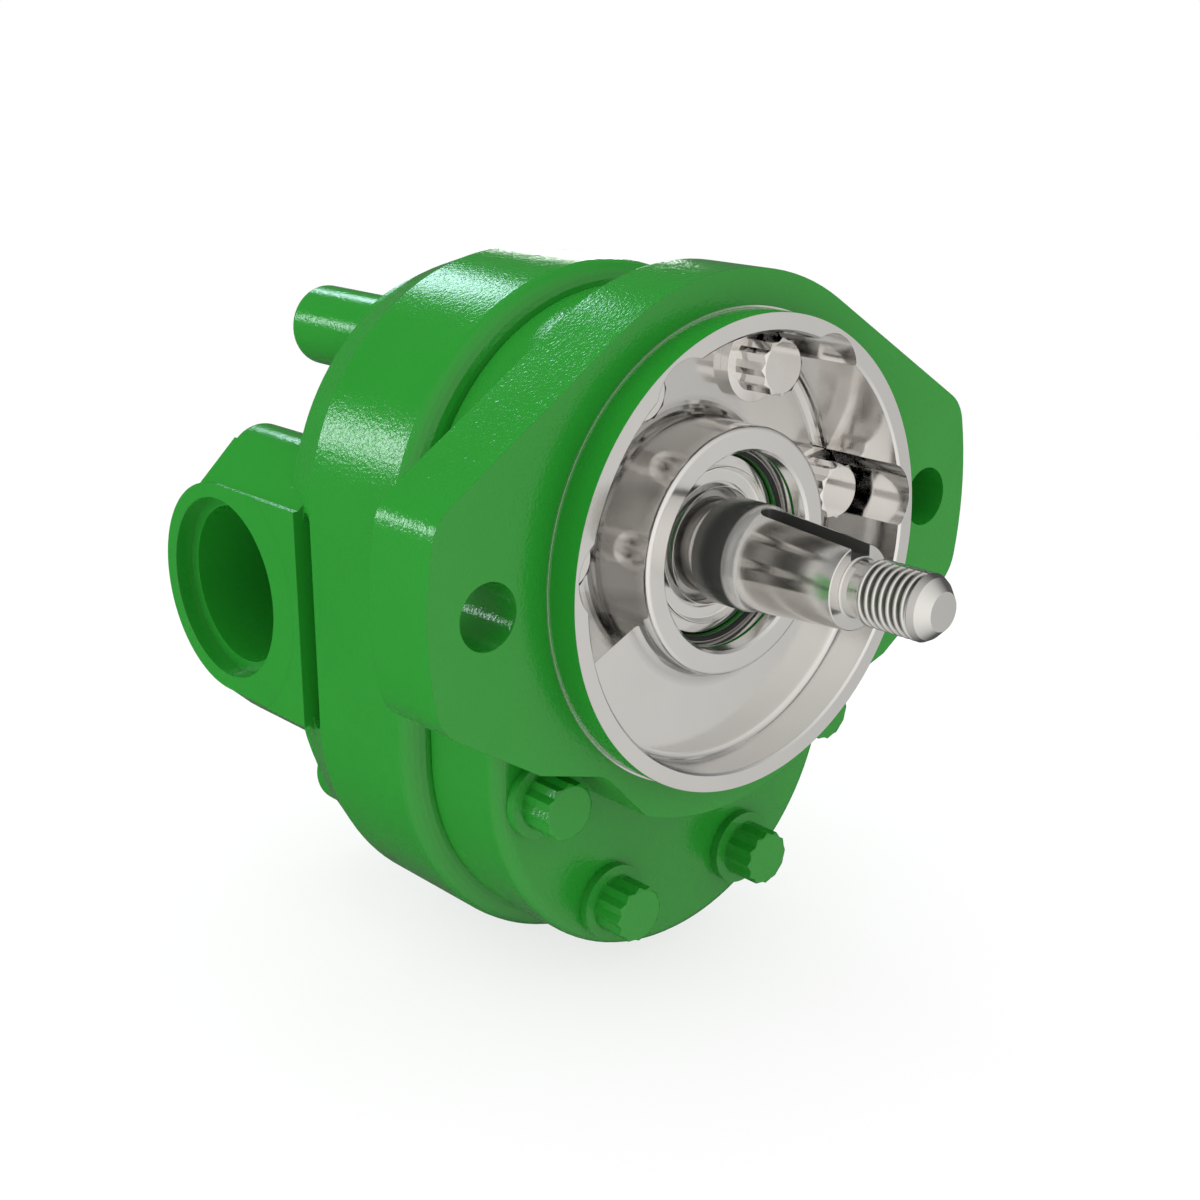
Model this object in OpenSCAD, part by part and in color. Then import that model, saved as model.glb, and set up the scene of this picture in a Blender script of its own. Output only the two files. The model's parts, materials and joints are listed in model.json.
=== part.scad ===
// External gear pump: two-bolt flange, round pilot, tapered drive shaft and side ports.
// The origin is the centre of the pilot on the mounting face. +Y runs into the pump,
// +Z is up, and the drive shaft points along -Y. The idler lies below the drive shaft.

/* [Gears] */
// Distance between the drive axis and the idler axis
axis_gap = 36.5; // [35:0.5:38]
// Number of teeth on each gear
gear_teeth = 12; // [11:1:14]
// Face width of the gears
gear_w = 20; // [14:1:26]
// Pressure angle of the teeth in degrees
pressure_angle = 25; // [23:1:27]
// Play between meshing teeth on the pitch circle
backlash = 0.3; // [0.2:0.05:0.4]
// Gap between the tooth tips and the gear chamber
tip_gap = 0.15; // [0.1:0.05:0.3]
// Gap between each gear face and its wear plate
side_gap = 0.1; // [0.05:0.05:0.3]
// Thickness of the wear plates
plate_t = 3.5; // [2.5:0.5:5]

/* [Bearings] */
// Diameter of both shafts in their bushes
journal_d = 19.05; // [18:0.05:20]
// Outside diameter of the bushes
bush_d = 24; // [23:0.5:26]
// Length of the bushes
bush_len = 14; // [10:1:15]
// Radial running clearance of the shafts in their bushes
run_gap = 0.05; // [0.03:0.01:0.08]
// Radial clearance of pieces that sit still in a round seat
seat_gap = 0.05; // [0.02:0.01:0.1]

/* [Mounting flange] */
// Diameter of the locating pilot
pilot_d = 82.55; // [81:0.05:84]
// Height of the pilot rim in front of the mounting face
pilot_h = 6.2; // [4:0.1:8]
// Distance between the two mounting holes
bolt_span = 106.38; // [105:0.1:108]
// Diameter of the mounting holes
bolt_hole_d = 11.12; // [10:0.1:12]
// Thickness of the flange
flange_t = 14.8; // [13.5:0.1:17]
// Radius of the flange round the pilot
flange_r = 47.8; // [46:0.1:49]
// Radius of the outer ends of the flange ears
ear_r = 64.8; // [64:0.1:67]
// Half angle of the outer ends of the ears
ear_angle = 12; // [10:0.5:14]
// Corner radius of the ears
ear_corner_r = 8; // [6:0.5:9]
// Radius of the notches that clear the lower cap screws
notch_r = 7.6; // [7.3:0.1:8.2]

/* [Front cover] */
// Depth of the screw seats behind the mounting face
seat_depth = 12.6; // [11.5:0.1:13.4]
// Thickness of the cover behind the screw seats
cover_t = 18.5; // [17:0.5:21]
// Radius of the cover round both axes
cover_r = 42; // [41:0.5:43]
// Edge rounding of the lower front face
cover_edge_r = 2.6; // [1:0.1:3]
// Radius of the recess in the pilot
recess_r = 38; // [37:0.1:38.5]
// Radius of the pockets that clear the upper cap screws
pocket_r = 7.2; // [7.1:0.1:7.5]
// Depth of the lower pad behind the mounting face
pad_depth = 2; // [1:0.1:4]
// Angle of the pad's two ends below the horizontal
pad_angle = 25; // [20:1:30]
// Radius of the seal boss
seal_boss_r = 21.8; // [21:0.1:22.5]
// Height of the seal boss in front of the mounting face
seal_boss_h = 2; // [1:0.1:4]

/* [Pump body] */
// Radius of the body round both axes
body_r = 45.9; // [45:0.1:47]
// Rounding of the body's front edge
body_edge_r = 4.1; // [2:0.1:4.5]
// Radius of the body at its rear face
rear_r = 43.1; // [42.5:0.1:45]
// Thickness of the wall behind the gear chamber
rear_wall = 10.4; // [9.5:0.1:11]
// Length of the body's rear taper
rear_taper = 9.2; // [8:0.1:9.4]
// Radius of the screw bosses
boss_r = 7.7; // [7:0.1:8.5]
// Length of the screw bosses behind the rear face
boss_len = 27.3; // [24:0.1:31]
// Fillet at the foot of the screw bosses
boss_foot_r = 5.5; // [3:0.5:6.5]
// Width of the groove in front of the port faces
groove_w = 3.9; // [3:0.1:4.5]
// Depth of the groove in front of the port faces
groove_depth = 3.4; // [2:0.1:4]

/* [Ports] */
// Distance of the port faces from the middle of the pump
port_face_x = 46.8; // [46.8:0.1:49]
// Distance of the port centres behind the body's rear face
port_back = 21.7; // [21:0.1:24]
// Wall round the inlet mouth, which sets the size of the port block
port_wall = 2.95; // [2.5:0.05:4]
// Diameter of the inlet mouth
inlet_mouth_d = 35.5; // [34:0.1:37]
// Diameter of the inlet thread's bore
inlet_bore_d = 31.1; // [29:0.1:32]
// Diameter of the outlet mouth
outlet_mouth_d = 29.2; // [27:0.1:31]
// Diameter of the outlet thread's bore
outlet_bore_d = 24.9; // [23:0.1:26]
// Depth of the port mouths
mouth_depth = 3.9; // [2:0.1:5]
// Depth of both threaded bores from the port face
port_depth = 20; // [17:0.5:23]
// Diameter of the passages from the ports to the gears
passage_d = 15; // [12:0.5:16]

/* [Cap screws] */
// Thread diameter of the cap screws
screw_d = 7.94; // [7:0.01:8.1]
// Distance of the cap screws from the nearer axis
screw_ring_r = 33.3; // [32.6:0.1:33.6]
// Angle of the outer cap screws above the nearer axis
outer_screw_angle = 60; // [56:1:63]
// Angle of the inner cap screws above the nearer axis
inner_screw_angle = 6.4; // [5:0.1:8]
// Length of the cap screws under the head
screw_len = 76.2; // [70:0.1:80]
// Radius of the points of the head
head_r = 5.25; // [4.8:0.05:5.5]
// Height of the twelve-point part of the head
head_h = 6.25; // [5:0.05:8]
// Radius of the collar under the head
collar_r = 7.05; // [6.5:0.05:7.1]
// Height of the collar
collar_h = 2.1; // [1.5:0.1:3]

/* [Drive shaft] */
// Distance of the shaft's tip in front of the mounting face
shaft_reach = 45; // [44:0.5:50]
// Diameter of the thread on the tip
thread_d = 11.11; // [10:0.01:12]
// Pitch of the thread
thread_pitch = 1.41; // [1.3:0.01:1.45]
// Diameter at the small end of the taper
taper_small_d = 14.4; // [14:0.1:16]
// Diameter at the large end of the taper
taper_large_d = 17.4; // [17:0.1:18.2]
// Length of the taper
taper_len = 19.1; // [18:0.1:20]
// Diameter of the shaft in front of the seal
land_d = 18.6; // [18.2:0.1:19]
// Diameter of the shaft where the seal runs
seal_journal_d = 16.6; // [16:0.1:17]
// Width of the keyway in the taper
keyway_w = 4.5; // [4:0.1:4.8]
// Height of the keyway floor above the shaft's axis
keyway_floor = 4.9; // [4.6:0.1:5.5]

/* [Shaft seal] */
// Diameter of the seal bore
seal_bore_d = 34.8; // [34.4:0.1:35.4]
// Depth of the seal bore behind the mounting face
seal_bore_depth = 10.8; // [10.4:0.1:11.4]
// Depth of the flat face of the seal case behind the mounting face
case_depth = 5; // [4.8:0.1:5.4]
// Height of the raised ring on the seal case
case_ring_h = 1.4; // [1:0.1:1.6]
// Diameter of the hole in the seal case
case_hole_d = 20.3; // [20:0.1:20.8]

/* [Hidden] */
$fn = 96;

// Colours
paint_green = [0.18, 0.55, 0.21];
bright_steel = [0.75, 0.74, 0.72];
dark_steel = [0.45, 0.45, 0.46];
bronze = [0.72, 0.53, 0.3];
black_rubber = [0.1, 0.1, 0.1];

// How far a cut runs past the face it opens
past = 1;

// Places along the pump, from the front to the rear
joint_y = seat_depth + cover_t;
gear_y = joint_y + plate_t + side_gap;
gear_end_y = gear_y + gear_w;
rear_plate_y = gear_end_y + side_gap;
chamber_end_y = rear_plate_y + plate_t;
rear_bush_end_y = chamber_end_y + bush_len;
rear_face_y = chamber_end_y + rear_wall;
crease_y = rear_face_y - rear_taper;
block_y = crease_y + groove_w;
port_y = rear_face_y + port_back;
boss_end_y = rear_face_y + boss_len;
front_bush_y = joint_y - bush_len;

// Places across the pump
idler_z = -axis_gap;
middle_z = -axis_gap / 2;
port_block_r = inlet_mouth_d / 2 + port_wall;

// Gear teeth
tooth_module = axis_gap / gear_teeth;
pitch_r = axis_gap / 2;
tip_r = pitch_r + tooth_module;
root_depth = 1.2 * tooth_module;
root_r = pitch_r - root_depth;
base_r = pitch_r * cos(pressure_angle);
flank_steps = 6;
chamber_r = tip_r + tip_gap;

// Bores and shafts
journal_r = journal_d / 2;
bush_r = bush_d / 2;
bush_seat_r = bush_r + seat_gap;
shaft_hole_gap = 1;
shaft_hole_r = journal_r + shaft_hole_gap;
plate_hole_gap = 0.4;
shaft_end_gap = 0.8;
shaft_end_y = rear_bush_end_y - shaft_end_gap;
idler_front_y = front_bush_y + shaft_end_gap;
shaft_chamfer = 1;
bush_chamfer = 0.6;
bearing_well = 2;
bearing_wall = 5.5;
bearing_end_y = rear_bush_end_y + bearing_well + bearing_wall;
bearing_boss_r = bush_seat_r + bearing_wall;

// Gear key
key_w = 4.76;
key_h = 4;
key_inset = 3;
key_len = gear_w - 2 * key_inset;
key_y = gear_y + key_inset;
key_z = journal_r - key_h / 2;

// Wear plate relief pockets on the gear side
relief_depth = 1.2;
relief_w = 5;
relief_x = 6.5;
relief_h = 9;

// Seals in the joint face
seal_section = 2;
plate_seal_r = 17.2;
plate_seal_waist = 8;
plate_seal_w = 1.6;
backup_w = 1.1;
body_seal_r = chamber_r + 3;
body_seal_w = 2.4;

// Dowel pins
dowel_r = 3;
dowel_x = 37;
dowel_half = 7;

// Cap screws
screw_r = screw_d / 2;
screw_hole_r = screw_r + 0.25;
screw_thread_r = screw_r + seat_gap;
screw_thread_len = 24;
screw_end_y = seat_depth + screw_len;
screw_tip_chamfer = 0.8;
head_crown = 0.35;
collar_slope = 0.35;
collar_slope_w = 1.6;

// Recess in the pilot
recess_edge = 0.4;
wall_fillet = 2.2;
boss_edge_r = 0.8;
deep_foot_r = 3;
pad_foot_r = 1.5;
pad_wall_fillet = 1.4;

// Seal bore
seal_bore_r = seal_bore_d / 2;
bore_mouth = 0.5;
bore_groove_y = 1;
bore_groove_w = 0.7;
bore_groove_depth = 0.35;

// Flange outline
flare_outer_angle = 163;
flare_inner_angle = 313;
flare_len = 40;
flare_sink = 0.02;
flange_fillet_r = 3;

// Rear of the body
boss_end_r = 1.2;
web_drop = 1;

// Passages and ports
passage_r = passage_d / 2;
passage_inset = 2.8;
passage_x = port_face_x - port_depth - passage_inset;
spotface_r = 25;
spotface_depth = 0.3;
drill_point = 4;
mouth_chamfer = 0.2;

// Drive shaft, from the tip inwards
tip_flat_r = 3.2;
tip_mid_r = 5;
tip_mid_y = 1.9 - shaft_reach;
thread_start_y = 2.9 - shaft_reach;
thread_turns = 7;
thread_end_y = thread_start_y + thread_turns * thread_pitch;
thread_r = thread_d / 2;
thread_root_r = thread_r - 0.61 * thread_pitch;
crest_share = 0.06;
thread_runout = 0.6;
neck_r = 4.75;
neck_fillet_r = 0.5;
neck_len = 4.03;
taper_y = thread_end_y + neck_len;
taper_end_y = taper_y + taper_len;
taper_edge = 0.15;
land_y = taper_end_y + 2.9;
rise_steps = 8;
land_end_y = 0.5;
land_edge = 0.3;
lip_end_y = seal_bore_depth + 2;
keyway_end_y = taper_end_y + 1.7;

// Shaft seal: the rubber jacket and the pressed case
seal_journal_r = seal_journal_d / 2;
jacket_front_y = 3.5;
jacket_t = 1.2;
jacket_edge = 0.2;
case_r = seal_bore_r - seat_gap - jacket_t;
case_hole_r = case_hole_d / 2;
case_wall = 1.2;
case_edge = 0.4;
case_ring_w = 3.7;
case_ring_edge = 0.25;
case_hole_edge = 0.3;
case_valley_h = 0.2;
case_valley_outer = 0.75;
case_valley_inner = 1.05;

// Shaft seal: the lips on their web behind the case, and the spring round the sealing lip
lip_front_y = case_depth + 0.4;
lip_inner_r = seal_journal_r + run_gap;
lip_outer_r = case_hole_r - seat_gap;
lip_slope = 0.4;
dust_lip_w = 0.7;
throat = 1;
web_y = case_depth + case_wall + seat_gap;
web_t = 1;
web_lap = 1.8;
lip_t = 1.7;
lip_edge_y = web_y + 2.2;
lip_edge_w = 0.6;
lip_len = 3.8;
spring_r = 0.6;
spring_centre_r = lip_inner_r + lip_t + seat_gap + spring_r;
spring_y = web_y + 2.6;

// Points of an arc of radius r about [x, y], from angle a to angle b
function arc(x, y, r, a, b, steps = 6) =
    [for (i = [0:steps]) [x + r * cos(a + (b - a) * i / steps), y + r * sin(a + (b - a) * i / steps)]];

// A point at radius r and angle a
function polar(r, a) = [r * cos(a), r * sin(a)];

// A smooth rise from 0 to 1
function rise(t) = (1 - cos(180 * t)) / 2;

// The involute function, in degrees
function inv(a) = tan(a) * 180 / PI - a;

// Half the angle that a tooth covers at radius r
function tooth_half_angle(r) =
    90 / gear_teeth - backlash / 4 / pitch_r * 180 / PI + inv(pressure_angle) - inv(acos(base_r / r));

// One flank of a tooth, from the base circle to the tip
flank = [for (i = [0:flank_steps])
    let (r = base_r + (tip_r - base_r) * i / flank_steps) [r, tooth_half_angle(r)]];

// One tooth about angle a, with the root gap that follows it
function tooth(a) = concat(
    [polar(root_r, a - flank[0][1])],
    [for (i = [0:flank_steps]) polar(flank[i][0], a - flank[i][1])],
    [polar(tip_r, a)],
    [for (i = [flank_steps:-1:0]) polar(flank[i][0], a + flank[i][1])],
    [polar(root_r, a + flank[0][1]), polar(root_r, a + 180 / gear_teeth)]);

// Cap screw places in the recess, and their mirror image about the middle of the pump
recess_screws = [for (side = [-1, 1], a = [outer_screw_angle, inner_screw_angle])
    [side * screw_ring_r * cos(a), screw_ring_r * sin(a)]];
lower_screws = [for (p = recess_screws) [p[0], idler_z - p[1]]];
all_screws = concat(recess_screws, lower_screws);
inner_screw_x = screw_ring_r * cos(inner_screw_angle);
inner_screw_z = screw_ring_r * sin(inner_screw_angle);

// Extrudes an outline drawn in X and Z from y0 to y1
module slab(y0, y1) {
    translate([0, y1, 0]) rotate([90, 0, 0]) linear_extrude(y1 - y0) children();
}

// Extrudes an outline drawn in Y and Z from x0 to x1
module crosswise(x0, x1) {
    translate([x0, 0, 0]) rotate([90, 0, 90]) linear_extrude(x1 - x0) children();
}

// Turns an outline drawn in radius and Y about the drive axis
module turned(points) {
    rotate([-90, 0, 0]) rotate_extrude() polygon(points);
}

// Turns an outline drawn in radius and X about the port axis
module turned_crosswise(points) {
    translate([0, port_y, middle_z]) rotate([0, 90, 0]) rotate_extrude() polygon(points);
}

// A cylinder along Y at [x, z]
module rod(p, r, y0, y1) {
    translate([p[0], y0, p[1]]) rotate([-90, 0, 0]) cylinder(r = r, h = y1 - y0);
}

// Does the same on the drive axis and on the idler axis
module both_axes() {
    children();
    translate([0, 0, idler_z]) children();
}

// Mirrors a piece to the other side of the pump
module both_sides() {
    children();
    mirror([1, 0, 0]) children();
}

// Turns an outline about both axes and fills the straight sides between them
module oblong(points) {
    both_axes() turned(points);
    translate([0, 0, idler_z]) linear_extrude(axis_gap) {
        polygon(points);
        mirror([1, 0]) polygon(points);
    }
}

// The outline of two circles joined by a waist
module waisted(r, waist) {
    circle(r);
    translate([0, idler_z]) circle(r);
    translate([-waist, idler_z]) square([2 * waist, axis_gap]);
}

// The round-ended outline about both axes
module oblong_outline(r) {
    waisted(r, r);
}

// The gear chamber's outline
module chamber_outline(r) {
    circle(r);
    translate([0, idler_z]) circle(r);
}

// One ear of the flange, with edges tangent to the flange circle and to its corners
module ear_outline() {
    corner_d = ear_r - ear_corner_r;
    lean = ear_angle + acos((flange_r - ear_corner_r) / corner_d);
    reach = ear_r / cos(ear_angle) + past;
    intersection() {
        circle(ear_r);
        polygon([[0, 0], polar(reach, -ear_angle), polar(reach, ear_angle)]);
    }
    for (side = [-1, 1]) {
        corner = polar(corner_d, side * ear_angle);
        translate(corner) circle(ear_corner_r);
        polygon([[0, 0], polar(flange_r, side * lean), corner + polar(ear_corner_r, side * lean), corner]);
    }
}

// The flange outline without its notches
module flange_outline() {
    circle(flange_r);
    ear_outline();
    mirror([1, 0]) ear_outline();
}

// The room round a lower cap screw: a circle with two sides that flare away from it
module notch_outline() {
    translate([-inner_screw_x, idler_z - inner_screw_z]) {
        circle(notch_r);
        start = polar(notch_r - flare_sink, flare_outer_angle - 90);
        finish = polar(notch_r - flare_sink, flare_inner_angle + 90);
        middle = (flare_outer_angle + flare_inner_angle) / 2;
        polygon([[0, 0], start, start + polar(flare_len, flare_outer_angle),
            polar(2 * flare_len, middle), finish + polar(flare_len, flare_inner_angle), finish]);
    }
}

// The ring-shaped cut round the seal boss, down to depth y
module recess_cut(y, foot_r, fillet) {
    turned(concat(
        [[0, -pilot_h - past], [recess_r + recess_edge, -pilot_h - past],
            [recess_r + recess_edge, -pilot_h], [recess_r, -pilot_h + recess_edge]],
        arc(recess_r - fillet, y - fillet, fillet, 0, 90),
        arc(seal_boss_r + foot_r, y - foot_r, foot_r, 90, 180),
        arc(seal_boss_r - boss_edge_r, boss_edge_r - seal_boss_h, boss_edge_r, 0, -90),
        [[0, -seal_boss_h]]));
}

// The upper sector of the recess, above the two ends of the pad
module deep_sector() {
    polygon(concat([[0, 0]], arc(0, 0, 2 * pilot_d, -pad_angle, 180 + pad_angle)));
}

// Both dowel holes from y0 to y1
module dowel_holes(y0, y1) {
    both_sides() rod([dowel_x, middle_z], dowel_r + seat_gap, y0, y1);
}

module front_cover() {
    color(paint_green) difference() {
        union() {
            oblong(concat([[0, seat_depth]],
                arc(cover_r - cover_edge_r, seat_depth + cover_edge_r, cover_edge_r, -90, 0),
                [[cover_r, joint_y - recess_edge], [cover_r - recess_edge, joint_y], [0, joint_y]]));
            slab(0, flange_t) difference() {
                flange_outline();
                notch_outline();
                mirror([1, 0]) notch_outline();
            }
            intersection() {
                oblong(concat([[0, seat_depth], [cover_r + flange_fillet_r, seat_depth]],
                    arc(cover_r + flange_fillet_r, flange_t + flange_fillet_r, flange_fillet_r, 270, 180),
                    [[0, flange_t + flange_fillet_r]]));
                slab(seat_depth, flange_t + flange_fillet_r) flange_outline();
                slab(seat_depth, flange_t + flange_fillet_r) translate([-ear_r, -flange_r / 2])
                    square([2 * ear_r, 2 * flange_r]);
            }
            rod([0, 0], pilot_d / 2, -pilot_h, seat_depth);
        }
        recess_cut(pad_depth, pad_foot_r, pad_wall_fillet);
        intersection() {
            recess_cut(seat_depth, deep_foot_r, wall_fillet);
            slab(-pilot_h - 2 * past, seat_depth + past) deep_sector();
        }
        for (p = recess_screws) rod(p, pocket_r, -pilot_h - past, seat_depth);
        for (p = all_screws) rod(p, screw_hole_r, -past, joint_y + past);
        both_sides() rod([bolt_span / 2, 0], bolt_hole_d / 2, -past, flange_t + past);
        turned([[0, -seal_boss_h - past], [seal_bore_r + bore_mouth, -seal_boss_h - past],
            [seal_bore_r + bore_mouth, -seal_boss_h], [seal_bore_r, bore_mouth - seal_boss_h],
            [seal_bore_r, bore_groove_y], [seal_bore_r + bore_groove_depth, bore_groove_y],
            [seal_bore_r + bore_groove_depth, bore_groove_y + bore_groove_w],
            [seal_bore_r, bore_groove_y + bore_groove_w], [seal_bore_r, seal_bore_depth],
            [shaft_hole_r, seal_bore_depth], [shaft_hole_r, front_bush_y + past],
            [0, front_bush_y + past]]);
        both_axes() rod([0, 0], bush_seat_r, front_bush_y, joint_y + past);
        slab(joint_y - seal_section, joint_y + past) difference() {
            waisted(plate_seal_r + seat_gap, plate_seal_waist + seat_gap);
            waisted(plate_seal_r - plate_seal_w - backup_w - seat_gap,
                plate_seal_waist - plate_seal_w - backup_w - seat_gap);
        }
        slab(joint_y - seal_section, joint_y + past) difference() {
            oblong_outline(body_seal_r + body_seal_w + seat_gap);
            oblong_outline(body_seal_r - seat_gap);
        }
        dowel_holes(joint_y - dowel_half - past, joint_y + past);
    }
}

// The casting behind the joint, before anything is cut from it
module body_casting() {
    oblong(concat([[0, joint_y]],
        arc(body_r - body_edge_r, joint_y + body_edge_r, body_edge_r, -90, 0),
        [[body_r, crease_y], [rear_r, rear_face_y], [0, rear_face_y]]));
    crosswise(-port_face_x, port_face_x) {
        translate([port_y, middle_z]) circle(port_block_r);
        translate([block_y, middle_z - port_block_r]) square([port_y - block_y, 2 * port_block_r]);
    }
    slab(rear_face_y - past, bearing_end_y) chamber_outline(bearing_boss_r);
    intersection() {
        for (p = all_screws) translate([p[0], 0, p[1]]) screw_boss();
        slab(crease_y, boss_end_y) oblong_outline(rear_r);
    }
    both_sides() slab(block_y, boss_end_y) {
        block_web();
        translate([0, idler_z]) mirror([0, 1]) block_web();
    }
}

// A boss for the end of one cap screw, with a filleted foot and a rounded end
module screw_boss() {
    turned(concat([[0, crease_y], [boss_r + boss_foot_r, crease_y]],
        arc(boss_r + boss_foot_r, rear_face_y + boss_foot_r, boss_foot_r, 270, 180),
        arc(boss_r - boss_end_r, boss_end_y - boss_end_r, boss_end_r, 0, 90),
        [[0, boss_end_y]]));
}

// The web that runs from an inner screw boss down to the edge of the port face
module block_web() {
    corner = [port_face_x, middle_z + port_block_r - web_drop];
    centre = [inner_screw_x, inner_screw_z];
    run = corner - centre;
    lean = atan2(run[1], run[0]) + acos(boss_r / norm(run));
    polygon([centre, centre + polar(boss_r, lean), corner, [inner_screw_x, corner[1]]]);
}

// One port, cut inwards from its face at +X, with its passage to the gears
module port_cut(mouth_d, bore_d) {
    inner_x = port_face_x - port_depth;
    seat_x = port_face_x - spotface_depth;
    turned_crosswise([[0, inner_x - drill_point], [bore_d / 2, inner_x], [bore_d / 2, seat_x - mouth_depth],
        [mouth_d / 2, seat_x - mouth_depth], [mouth_d / 2, seat_x - mouth_chamfer],
        [mouth_d / 2 + mouth_chamfer, seat_x], [spotface_r, seat_x], [spotface_r, port_face_x + past],
        [0, port_face_x + past]]);
    rod([passage_x, middle_z], passage_r, gear_y + gear_w / 2, port_y);
    translate([0, gear_y + gear_w / 2, middle_z]) rotate([0, 90, 0]) cylinder(r = passage_r, h = passage_x);
    translate([passage_x, gear_y + gear_w / 2, middle_z]) sphere(passage_r);
}

module pump_body() {
    color(paint_green) difference() {
        body_casting();
        slab(joint_y - past, chamber_end_y) chamber_outline(chamber_r);
        both_axes() rod([0, 0], bush_seat_r, chamber_end_y - past, rear_bush_end_y);
        both_axes() rod([0, 0], shaft_hole_r, rear_bush_end_y - past, rear_bush_end_y + bearing_well);
        mirror([1, 0, 0]) port_cut(inlet_mouth_d, inlet_bore_d);
        port_cut(outlet_mouth_d, outlet_bore_d);
        for (p = all_screws) {
            rod(p, screw_hole_r, joint_y - past, screw_end_y - screw_thread_len);
            rod(p, screw_thread_r, screw_end_y - screw_thread_len - past, screw_end_y + past);
        }
        dowel_holes(joint_y - past, joint_y + dowel_half + past);
        both_sides() crosswise(body_r - groove_depth, port_face_x + past)
            for (side = [-1, 1]) translate([crease_y + groove_w / 2, middle_z]) {
                translate([0, side * (port_block_r - groove_w / 2)]) circle(groove_w / 2);
                translate([-groove_w / 2, groove_w / 2 - port_block_r])
                    square([groove_w, 2 * port_block_r - groove_w]);
            }
    }
}

// The thread as a row of V grooves, each with a crest flat on both sides and a narrow floor
thread_groove = [[thread_r, crest_share], [thread_root_r, 0.5 - crest_share],
    [thread_root_r, 0.5 + crest_share], [thread_r, 1 - crest_share]];
thread_points = [for (i = [0:thread_turns - 1], q = thread_groove)
    [q[0], thread_start_y + (i + q[1]) * thread_pitch]];

module drive_shaft() {
    color(bright_steel) difference() {
        turned(concat(
            [[0, -shaft_reach], [tip_flat_r, -shaft_reach], [tip_mid_r, tip_mid_y],
                [thread_r, thread_start_y]],
            thread_points,
            [[thread_r, thread_end_y], [neck_r, thread_end_y + thread_runout]],
            arc(neck_r + neck_fillet_r, taper_y - neck_fillet_r, neck_fillet_r, 180, 90, 4),
            [[taper_small_d / 2 - taper_edge, taper_y], [taper_small_d / 2, taper_y + taper_edge]],
            [for (i = [0:rise_steps]) let (t = i / rise_steps)
                [taper_large_d / 2 + (land_d - taper_large_d) / 2 * rise(t),
                    taper_end_y + (land_y - taper_end_y) * t]],
            arc(land_d / 2 - land_edge, land_end_y - land_edge, land_edge, 0, 90),
            [[seal_journal_r, land_end_y], [seal_journal_r, lip_end_y],
                [journal_r, lip_end_y + journal_r - seal_journal_r],
                [journal_r, shaft_end_y - shaft_chamfer], [journal_r - shaft_chamfer, shaft_end_y],
                [0, shaft_end_y]]));
        translate([-keyway_w / 2, -shaft_reach + past, keyway_floor])
            cube([keyway_w, keyway_end_y - keyway_w / 2 + shaft_reach - past, journal_r]);
        translate([0, keyway_end_y - keyway_w / 2, keyway_floor]) cylinder(r = keyway_w / 2, h = journal_r);
        translate([-key_w / 2 - seat_gap, key_y - seat_gap, key_z - seat_gap])
            cube([key_w + 2 * seat_gap, key_len + 2 * seat_gap, journal_r]);
    }
}

// A spur gear, with one tooth centred on angle a
module gear(a) {
    slab(gear_y, gear_end_y) difference() {
        polygon([for (i = [0:gear_teeth - 1], p = tooth(a + i * 360 / gear_teeth)) p]);
        circle(journal_r + seat_gap);
    }
}

module drive_gear() {
    color(dark_steel) difference() {
        gear(-90);
        translate([-key_w / 2 - seat_gap, gear_y - past, 0])
            cube([key_w + 2 * seat_gap, gear_w + 2 * past, key_z + key_h + seat_gap]);
    }
}

module gear_key() {
    color(dark_steel) translate([-key_w / 2, key_y, key_z]) cube([key_w, key_len, key_h]);
}

module idler_shaft() {
    color(bright_steel) translate([0, 0, idler_z])
        turned([[0, idler_front_y], [journal_r - shaft_chamfer, idler_front_y],
            [journal_r, idler_front_y + shaft_chamfer], [journal_r, shaft_end_y - shaft_chamfer],
            [journal_r - shaft_chamfer, shaft_end_y], [0, shaft_end_y]]);
}

module idler_gear() {
    color(dark_steel) translate([0, 0, idler_z]) gear(90 + 180 / gear_teeth);
}

// A plain bush that starts at y, with chamfered ends
module bush(y) {
    inner = journal_r + run_gap;
    color(bronze) turned([[inner, y], [bush_r - bush_chamfer, y], [bush_r, y + bush_chamfer],
        [bush_r, y + bush_len - bush_chamfer], [bush_r - bush_chamfer, y + bush_len],
        [inner, y + bush_len]]);
}

module front_drive_bush() {
    bush(front_bush_y);
}

module front_idler_bush() {
    translate([0, 0, idler_z]) bush(front_bush_y);
}

module rear_drive_bush() {
    bush(chamber_end_y);
}

module rear_idler_bush() {
    translate([0, 0, idler_z]) bush(chamber_end_y);
}

// A wear plate between y0 and y1, with relief pockets on the side that meets the gears
module wear_plate(y0, y1, relief_y) {
    color(bronze) difference() {
        slab(y0, y1) difference() {
            chamber_outline(chamber_r - seat_gap);
            both_shaft_holes();
        }
        both_sides() translate([relief_x - relief_w / 2, relief_y, middle_z - relief_h / 2])
            cube([relief_w, relief_depth, relief_h]);
    }
}

// The holes that let both shafts through a wear plate
module both_shaft_holes() {
    circle(journal_r + plate_hole_gap);
    translate([0, idler_z]) circle(journal_r + plate_hole_gap);
}

module front_wear_plate() {
    wear_plate(joint_y, joint_y + plate_t, joint_y + plate_t - relief_depth);
}

module rear_wear_plate() {
    wear_plate(rear_plate_y, chamber_end_y, rear_plate_y);
}

module plate_seal() {
    color(black_rubber) slab(joint_y - seal_section, joint_y) difference() {
        waisted(plate_seal_r, plate_seal_waist);
        waisted(plate_seal_r - plate_seal_w, plate_seal_waist - plate_seal_w);
    }
}

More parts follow.
